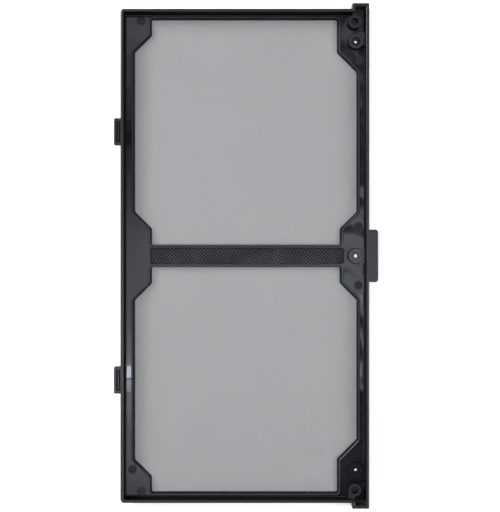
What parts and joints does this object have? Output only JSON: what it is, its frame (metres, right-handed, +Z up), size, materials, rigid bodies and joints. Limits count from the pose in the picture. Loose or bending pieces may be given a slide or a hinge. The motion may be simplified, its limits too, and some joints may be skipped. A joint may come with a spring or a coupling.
{
  "type": "fan dust filter",
  "caption": "Flat dust filter for cooling fans: a moulded tray frame with a fine net set behind its windows, clips on one long side and a pull tab on the other.",
  "frame": {"origin": "middle of the whole part on the plane of its front face, which it lies on", "axes": "+Z up out of the open side of the tray, +Y along the frame, +X across it from the clips to the pull tab"},
  "size_m": [0.1536, 0.2936, 0.01],
  "materials": {
    "frame_plastic": "black injection-moulded plastic, low gloss",
    "net_nylon": "fine woven black nylon net"
  },
  "bodies": {
    "root": {"filter_frame": "frame_plastic", "dust_net": "net_nylon"}
  },
  "joints": []
}
